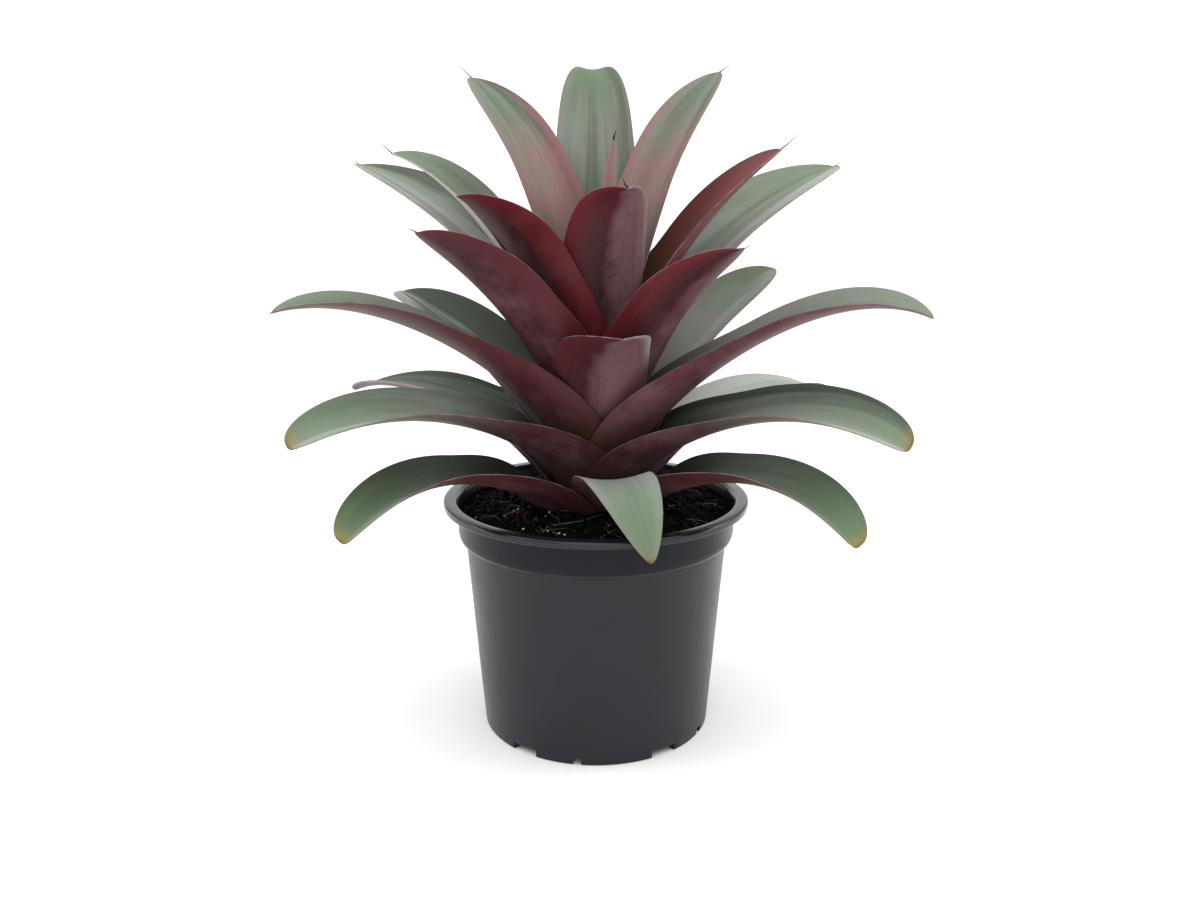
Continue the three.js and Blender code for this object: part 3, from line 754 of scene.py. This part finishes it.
def half_width(row, along):
    left = 1 - max(0, (along - row["taper"]) / (1 - row["taper"])) ** 2.6
    return TIP_HALF_WIDTH + (row["half"] - TIP_HALF_WIDTH) * left ** row["point"]


def leaf_point(row, curve, along, across):
    """A point of the leaf's middle surface, in millimetres: clasping the stem at its base, a channel further out."""
    spot, run = along_rib(curve, along)
    opened = ease(along / CLASP_LENGTH)
    cup = mix(row["cup"], TIP_CUP, ease((along - 0.45) / 0.5))
    angle = math.radians(mix(row["clasp"], cup, opened))
    radius = mix(spot.x, half_width(row, along) / angle, opened)
    tilt = math.atan2(run.x, run.y) * opened
    turn = across * angle + math.radians(row["twist"]) * (1 - opened)
    side = radius * math.sin(turn)
    deep = radius * (1 - math.cos(turn))
    roll = math.radians(row["roll"] * along + row["lift"] * math.sin(math.pi * along) ** 2)
    sideways = side * math.cos(roll) - deep * math.sin(roll) + row["sway"] * along**2
    inward = side * math.sin(roll) + deep * math.cos(roll)
    outward = spot.x - inward * math.cos(tilt)
    azimuth = math.radians(row["azimuth"])
    return Vector(
        (
            outward * math.sin(azimuth) + sideways * math.cos(azimuth),
            -outward * math.cos(azimuth) + sideways * math.sin(azimuth),
            spot.y + inward * math.sin(tilt),
        )
    )


def tint_leaf(mesh, row, number):
    """Gives the leaf its own colouring, which the shared leaf finishes read."""
    values = {name: row[name] for name in TINTS}
    for name, value in {"leaf_seed": number * 0.37, **values}.items():
        layer = mesh.attributes.new(name, "FLOAT", "POINT")
        layer.data.foreach_set("value", [value] * len(mesh.vertices))


def leaf_places(f):
    """Across and along the leaf, its distance from the midrib, and its number."""
    uv = f.add("UVMap", uv_map="UVMap").outputs[0]
    parts = f.add("SeparateXYZ", {0: uv})
    across, along = parts.outputs["X"], parts.outputs["Y"]
    edge = f.value("ABSOLUTE", f.value("SUBTRACT", f.value("MULTIPLY", across, 2.0), 1.0))
    return across, along, edge, f.attribute("leaf_seed")


def streaks(f, across, along, seed, wide, long, detail=3.0, distortion=0.0):
    """Noise drawn out along the leaf."""
    spread = [(across, wide), (along, long), (seed, 9.0)]
    place = f.vector(*(f.value("MULTIPLY", part, by) for part, by in spread))
    return f.grain(place, 1.0, detail, 0.55, distortion)


def leaf_upper_finish(settings):
    """Green upper side with silvery bands, dark stripes and specks, a pink base and margins, a dry tip, painted
    shade.

    One half of a leaf can get painted shade, and one half silvery scurf that is partly a painted sheen.
    """
    f = Finish("leaf_upper")
    across, along, edge, seed = leaf_places(f)
    blush, fresh, shade, silver = (f.attribute(name) for name in ("blush", "fresh", "shade", "silver"))
    lines = streaks(f, across, along, seed, 30.0, 1.8, 3.0, 0.5)
    bands = streaks(f, across, along, seed, 4.0, 0.9, 3.0, 0.4)
    stripes = streaks(f, across, along, seed, 8.0, 1.4, 3.0, 0.6)
    patches = f.grain(f.place, 34, 4, 0.6)
    colour = f.blend(f.span(bands, 0.4, 0.6), settings.green, settings.silver)
    striped = f.value("MULTIPLY", f.span(stripes, 0.46, 0.7, 0, 0.75), f.span(edge, 0.85, 0.35, 0.3, 1))
    striped = f.value("MULTIPLY", striped, f.span(fresh, 0.3, 0.8, 1, 0.5))
    colour = f.blend(striped, colour, [0.5 * c for c in settings.green])
    colour = f.blend(f.span(lines, 0.45, 0.75, 0, 0.24), colour, settings.deep)
    colour = f.blend(f.span(lines, 0.5, 0.25, 0, 0.14), colour, settings.scurf)
    # Silver is partly the leaf's scurf and partly painted light that brightens leaves which stand in the light.
    scurfy = f.value("ADD", f.span(patches, 0.5, 0.72, 0, 0.3), f.value("MULTIPLY", silver, 0.5), clamp=True)
    colour = f.blend(scurfy, colour, settings.scurf)
    colour = f.blend(f.span(edge, 0.45, 0.9, 0, 0.4), colour, settings.scurf)
    outer = f.span(f.value("ADD", along, f.value("MULTIPLY", patches, 0.4)), 0.7, 1.1)
    colour = f.blend(f.value("MULTIPLY", outer, fresh), colour, settings.fresh)
    # Painted shade over all but the outer end of the leaf, as strong as its shade.
    inner = f.span(f.value("ADD", along, f.value("MULTIPLY", bands, 0.3)), 1.35, 0.85)
    colour = f.blend(f.value("MULTIPLY", inner, shade), colour, settings.deep)
    # Painted shade on one half of the leaf, and silvery scurf on one half, each picked by a signed value.
    half = f.value("ADD", f.value("SUBTRACT", across, 0.5), f.span(bands, 0.3, 0.7, -0.2, 0.2))
    dusky = f.span(f.value("MULTIPLY", half, f.attribute("dusk")), 0.05, 0.45, 0, 0.8)
    colour = f.blend(dusky, colour, settings.deep)
    # The silvery half: scurf, partly a painted sheen where that half faces the light.
    frosted = f.span(f.value("MULTIPLY", half, f.attribute("frost")), 0.05, 0.45, 0, 0.8)
    frosted = f.value("MULTIPLY", frosted, f.span(stripes, 0.3, 0.7, 0.5, 1))
    colour = f.blend(frosted, colour, settings.frost)
    mottled = f.value("ADD", f.value("MULTIPLY", lines, 0.15), f.value("MULTIPLY", patches, 0.5))
    mottled = f.value("SUBTRACT", mottled, f.span(blush, 0.8, 0.9, 0, 0.4))
    base = f.span(f.value("ADD", along, mottled), 1.16, 0.78)
    base = f.value("MULTIPLY", base, f.span(f.grain(f.place, 70, 4, 0.6), 0.35, 0.65, 0.65, 1))
    base = f.value("MULTIPLY", base, f.span(stripes, 0.35, 0.65, 0.72, 1))
    flush = f.value("MULTIPLY", f.span(edge, 0.6, 0.96, 0, 0.9), f.span(along, 1.0, 0.6, 0.4, 1))
    colour = f.blend(f.value("MULTIPLY", f.value("MAXIMUM", base, flush), blush), colour, settings.blush)
    # Painted shade towards every leaf's base, deep in the rosette.
    colour = f.blend(f.span(along, 0.5, 0.2, 0, 0.7), colour, settings.deep)
    wine = f.span(blush, 0.95, 1.0)
    colour = f.blend(wine, colour, settings.wine)
    colour = f.blend(f.value("MULTIPLY", wine, f.span(along, 0.62, 0.35, 0, 0.85)), colour, (0.11, 0.055, 0.025))
    ageing = f.value("MULTIPLY", f.span(f.value("ADD", along, f.value("MULTIPLY", patches, 0.12)), 1.0, 1.06), fresh)
    colour = f.blend(ageing, colour, settings.aged)
    freckles, tints = f.cells(f.place, 190)
    freckle = f.value("MULTIPLY", f.span(freckles, 0.16, 0.08), f.span(tints, 0.86, 0.9))
    freckle = f.value("MULTIPLY", freckle, f.span(fresh, 0.4, 0.8, 0, 0.7))
    colour = f.blend(freckle, colour, settings.aged)
    dried = f.value("MULTIPLY", f.span(along, 0.985, 0.997), f.span(fresh, 0.2, 0.3))
    colour = f.blend(dried, colour, settings.dry)
    dots, tints = f.cells(f.place, 260)
    speck = f.value("MULTIPLY", f.span(dots, 0.11, 0.07), f.span(tints, 0.93, 0.95))
    colour = f.blend(f.value("MULTIPLY", speck, 0.7), colour, (0.02, 0.016, 0.012))
    ridges = streaks(f, across, along, seed, 90.0, 1.2, 1.0)
    normal = f.bump(ridges, 0.0003, 0.4)
    normal = f.bump(f.grain(f.place, 900, 3), 0.0001, 0.4, normal)
    return f.done(colour, f.span(bands, 0.3, 0.7, 0.42, 0.56), normal, Specular_IOR_Level=0.1)


def leaf_under_finish(settings):
    """Maroon under side: a pale bloom, partly a painted sheen, bright red margins, a greyer outer end, an olive base.
    """
    f = Finish("leaf_under")
    across, along, edge, seed = leaf_places(f)
    lines = streaks(f, across, along, seed, 30.0, 1.1)
    bands = streaks(f, across, along, seed, 3.0, 0.7, 3.0, 0.4)
    patches = f.grain(f.place, 36, 5, 0.65)
    rubbed = f.grain(f.place, 130, 4, 0.7, 1.0)
    mottled = f.value("MULTIPLY", f.span(bands, 0.4, 0.7, 0, 0.6), f.attribute("ruby"))
    colour = f.blend(mottled, settings.maroon, settings.red)
    rosy = f.value("MULTIPLY", f.span(edge, 0.25, 1.0, 0, 0.95), f.span(along, 0.15, 0.5, 0.35, 1.0))
    colour = f.blend(f.value("MULTIPLY", rosy, f.attribute("ruby")), colour, settings.red)
    # Wax bloom, partly a painted sheen, more on the side that lean picks and less at the margins.
    side = f.value("MULTIPLY", f.value("SUBTRACT", across, 0.5), f.value("MULTIPLY", f.attribute("lean"), 3.0))
    wax_and_sheen = f.value("ADD", f.value("ADD", f.attribute("bloom"), side), f.value("MULTIPLY", edge, -0.55))
    wax_and_sheen = f.value("ADD", wax_and_sheen, f.span(patches, 0.3, 0.7, -0.25, 0.25))
    wax_and_sheen = f.value("MULTIPLY", f.span(wax_and_sheen, -0.1, 0.9), f.span(rubbed, 0.3, 0.6, 0.75, 1.0))
    # Less bloom towards the base: painted shade.
    wax_and_sheen = f.value("MULTIPLY", wax_and_sheen, f.span(along, 0.0, 0.26, 0.35, 0.95))
    colour = f.blend(wax_and_sheen, colour, settings.bloom)
    greying = f.value("MULTIPLY", f.span(along, 0.32, 0.62, 0, 0.9), f.span(f.attribute("fresh"), 0.3, 0.6))
    # Leaves with painted shade keep their dark maroon instead of greying.
    greying = f.value("MULTIPLY", greying, f.span(f.attribute("shade"), 0.5, 0.2))
    colour = f.blend(greying, colour, settings.sallow)
    # A silvery strip on one side, partly a painted highlight on the fold.
    ashen_and_sheen = f.value("MULTIPLY", f.value("SUBTRACT", across, 0.5), f.attribute("frost"))
    ashen_and_sheen = f.value("MULTIPLY", f.span(ashen_and_sheen, 0.55, 0.85, 0, 0.85), f.span(along, 0.3, 0.55))
    colour = f.blend(ashen_and_sheen, colour, settings.frost)
    colour = f.blend(f.span(lines, 0.5, 0.8, 0, 0.4), colour, [0.4 * c for c in settings.maroon])
    colour = f.blend(f.span(lines, 0.42, 0.25, 0, 0.12), colour, settings.bloom)
    colour = f.blend(f.span(along, 0.2, 0.02, 0, 0.8), colour, (0.045, 0.032, 0.012))
    dried = f.value("MULTIPLY", f.span(along, 0.985, 0.997), f.span(f.attribute("fresh"), 0.2, 0.3))
    colour = f.blend(dried, colour, settings.dry)
    ridges = streaks(f, across, along, seed, 80.0, 1.0, 1.0)
    normal = f.bump(ridges, 0.0003, 0.35)
    normal = f.bump(f.grain(f.place, 800, 3), 0.0001, 0.4, normal)
    return f.done(colour, f.span(patches, 0.3, 0.7, 0.42, 0.56), normal, Specular_IOR_Level=0.22)


def leaf_margin_finish(settings):
    """The thin rim of the blade, pink to pale, brown at the tip."""
    f = Finish("leaf_margin")
    _, along, _, seed = leaf_places(f)
    wander = f.grain(f.place, 120, 3)
    colour = f.blend(f.span(wander, 0.35, 0.65), (0.13, 0.045, 0.05), (0.24, 0.15, 0.14))
    dried = f.value("MULTIPLY", f.span(along, 0.96, 0.99), f.span(f.attribute("fresh"), 0.2, 0.3))
    colour = f.blend(dried, colour, settings.dry)
    return f.done(colour, 0.55, Specular_IOR_Level=0.25)


class BROMELIAD_OT_leaves(bpy.types.Operator):
    """Grows each leaf as a fine blade on the measures of its solid"""

    bl_idname = "bromeliad.leaves"
    bl_label = "Leaves"

    def blade(self, row, rows, columns):
        """The leaf's middle surface, with facets shorter towards the tip."""
        bm = bmesh.new()
        bmesh.ops.create_grid(bm, x_segments=columns, y_segments=rows, size=1, calc_uvs=False)
        layer = bm.loops.layers.uv.new("UVMap")
        for vert in bm.verts:
            vert.co.y = 1 - (0.5 - 0.5 * vert.co.y) ** 1.35
        for face in bm.faces:
            for loop in face.loops:
                loop[layer].uv = (0.5 + 0.5 * loop.vert.co.x, loop.vert.co.y)
        curve = midrib(row)
        for vert in bm.verts:
            vert.co = leaf_point(row, curve, vert.co.y, vert.co.x) * MM
        for edge in bm.edges:
            edge.smooth = not edge.is_boundary
        return bm

    def thinning(self, piece):
        """Full thickness at the midrib, less towards the margins."""
        group = piece.vertex_groups.new(name="thickness")
        across = {}
        for loop, uv in zip(piece.data.loops, piece.data.uv_layers[0].data):
            across[loop.vertex_index] = abs(2 * uv.uv[0] - 1)
        for index, share in across.items():
            group.add([index], 1 - share**5, "REPLACE")
        return group

    def execute(self, context):
        settings = context.scene.bromeliad_leaf
        finishes = [leaf_under_finish(settings), leaf_upper_finish(settings), leaf_margin_finish(settings)]
        for number, row in enumerate(LEAVES, 1):
            if number == len(LEAVES):  # the unfurling leaf is the same pink outside and in
                finishes = [finishes[1]] * 2 + finishes[2:]
            bm = self.blade(row, settings.rows, settings.columns)
            node = f"leaf_{number:02d}"
            piece = finished_piece(f"blade_{number:02d}", bm, finishes, [node])
            tint_leaf(piece.data, row, number)
            thick = piece.modifiers.new("thickness", "SOLIDIFY")
            thick.thickness = LEAF_THICKNESS * MM
            thick.offset = 0
            thick.use_even_offset = True
            thick.material_offset = 1
            thick.material_offset_rim = 2
            thick.vertex_group = self.thinning(piece).name
            thick.thickness_vertex_group = 0.4
        return {"FINISHED"}


class BROMELIAD_OT_threads(bpy.types.Operator):
    """Draws the dried threads at the leaf tips"""

    bl_idname = "bromeliad.threads"
    bl_label = "Dried threads"

    def execute(self, context):
        dry = context.scene.bromeliad_leaf.dry
        self.bundle("dried_threads", TIP_THREADS, THREAD_THICKNESS, speck_finish("dried_thread", dry))
        withered = speck_finish("withered_thread", (0.012, 0.006, 0.006))
        self.bundle("withered_threads", WITHERED_THREADS, WITHERED_THICKNESS, withered)
        return {"FINISHED"}

    def bundle(self, name, threads, thickness, finish):
        bm = bmesh.new()
        for number, path in threads:
            row = LEAVES[number - 1]
            tip = leaf_point(row, midrib(row), 0.995, 0)
            spots = [tip + Vector((right, 0, up)) for right, up in path]
            fine = []
            for a, b in zip(spots, spots[1:]):
                fine += [a.lerp(b, k / 3) for k in range(3)]
            fine.append(spots[-1])
            thick = [mix(thickness, THREAD_END, i / (len(fine) - 1)) * MM for i in range(len(fine))]
            strand(bm, [spot * MM for spot in fine], thick)
        bmesh.ops.recalc_face_normals(bm, faces=bm.faces)
        finished_piece(name, bm, [finish])


# ---------------------------------------------------------------- stage
class BROMELIAD_OT_stage(bpy.types.Operator):
    """Sets the floor, the soft lights and the camera"""

    bl_idname = "bromeliad.stage"
    bl_label = "Stage"

    def floor(self, settings):
        bm = bmesh.new()
        bmesh.ops.create_grid(bm, x_segments=8, y_segments=8, size=6)
        mesh = bpy.data.meshes.new("floor")
        bm.to_mesh(mesh)
        bm.free()
        f = Finish("pale_floor")
        wander = f.grain(f.place, 3, 2)
        mesh.materials.append(f.done(f.blend(wander, settings.floor, [0.99 * c for c in settings.floor]), 0.9))
        floor = bpy.data.objects.new("floor", mesh)
        bpy.context.scene.collection.objects.link(floor)

    def softbox(self, name, power, size, at, towards):
        light = bpy.data.lights.new(name, "AREA")
        light.shape = "RECTANGLE"
        light.size, light.size_y = size
        light.energy = power
        lamp = bpy.data.objects.new(name, light)
        lamp.location = at
        lamp.rotation_euler = (Vector(towards) - Vector(at)).to_track_quat("-Z", "Y").to_euler()
        bpy.context.scene.collection.objects.link(lamp)

    def white_surround(self, settings):
        """White to the camera; for light, dimmer in front of the pot and where dull surfaces gather it."""
        world = bpy.data.worlds.new("white_surround")
        n = Nodes(world)
        towards = n.add("SeparateXYZ", {0: n.add("TexCoord").outputs["Generated"]}).outputs["Y"]
        around = n.span(towards, -0.95, 0.1, settings.front, settings.surround)
        ray = n.add("LightPath").outputs
        light = n.value("MULTIPLY", around, n.span(ray["Is Diffuse Ray"], 0, 1, 1, settings.fill))
        strength = n.span(ray["Is Camera Ray"], 0, 1, light, settings.surround)
        background = n.add("Background", {"Color": (1, 1, 1, 1), "Strength": strength})
        n.add("OutputWorld", {"Surface": background.outputs[0]})
        return world

    def execute(self, context):
        scene = context.scene
        settings = scene.bromeliad_stage
        self.floor(settings)
        light = bpy.data.lights.new("overhead", "SUN")
        light.energy = settings.overhead
        light.angle = math.radians(95)
        lamp = bpy.data.objects.new("overhead", light)
        lamp.rotation_euler = (math.radians(3), 0, 0)
        scene.collection.objects.link(lamp)
        self.softbox("left_side", settings.softbox, (0.8, 1.2), (-1.3, -0.1, 0.7), (0, 0, 0.2))
        self.softbox("right_side", settings.softbox, (0.8, 1.2), (1.3, 0.1, 0.7), (0, 0, 0.2))
        self.softbox("front", settings.window, (1.2, 0.6), (0, -1.3, 0.55), (0, 0, 0.2))
        scene.world = self.white_surround(settings)
        camera = bpy.data.cameras.new("camera")
        camera.lens = settings.focal_length
        camera.sensor_width = 36
        eye = bpy.data.objects.new("camera", camera)
        eye.location = Vector(CAMERA_PLACE) * MM
        eye.rotation_euler = (math.radians(CAMERA_TILT), 0, 0)
        scene.collection.objects.link(eye)
        scene.camera = eye
        scene.view_settings.view_transform = "Standard"
        return {"FINISHED"}


# ---------------------------------------------------------------- add-on
STEPS = (
    BROMELIAD_OT_stage,
    BROMELIAD_OT_pot,
    BROMELIAD_OT_potting_mix,
    BROMELIAD_OT_stem,
    BROMELIAD_OT_leaves,
    BROMELIAD_OT_threads,
)
SETTINGS = {
    "bromeliad_pot": BromeliadPotSettings,
    "bromeliad_mix": BromeliadMixSettings,
    "bromeliad_leaf": BromeliadLeafSettings,
    "bromeliad_stage": BromeliadStageSettings,
}


class BROMELIAD_PT_panel(bpy.types.Panel):
    """Lists the settings and the steps"""

    bl_idname = "BROMELIAD_PT_panel"
    bl_label = "Potted bromeliad"
    bl_space_type = "VIEW_3D"
    bl_region_type = "UI"
    bl_category = "Bromeliad"

    def draw(self, context):
        for name, group in SETTINGS.items():
            box = self.layout.box()
            for key in group.__annotations__:
                box.prop(getattr(context.scene, name), key)
        for step in STEPS:
            self.layout.operator(step.bl_idname)


def register():
    for group in SETTINGS.values():
        bpy.utils.register_class(group)
    for step in STEPS:
        bpy.utils.register_class(step)
    bpy.utils.register_class(BROMELIAD_PT_panel)
    for name, group in SETTINGS.items():
        setattr(bpy.types.Scene, name, bpy.props.PointerProperty(type=group))


def unregister():
    for name in SETTINGS:
        delattr(bpy.types.Scene, name)
    bpy.utils.unregister_class(BROMELIAD_PT_panel)
    for step in reversed(STEPS):
        bpy.utils.unregister_class(step)
    for group in reversed(SETTINGS.values()):
        bpy.utils.unregister_class(group)


def main():
    register()
    bpy.ops.bromeliad.stage()
    bpy.ops.bromeliad.pot()
    bpy.ops.bromeliad.potting_mix()
    bpy.ops.bromeliad.stem()
    bpy.ops.bromeliad.leaves()
    bpy.ops.bromeliad.threads()


if __name__ == "__main__":
    main()
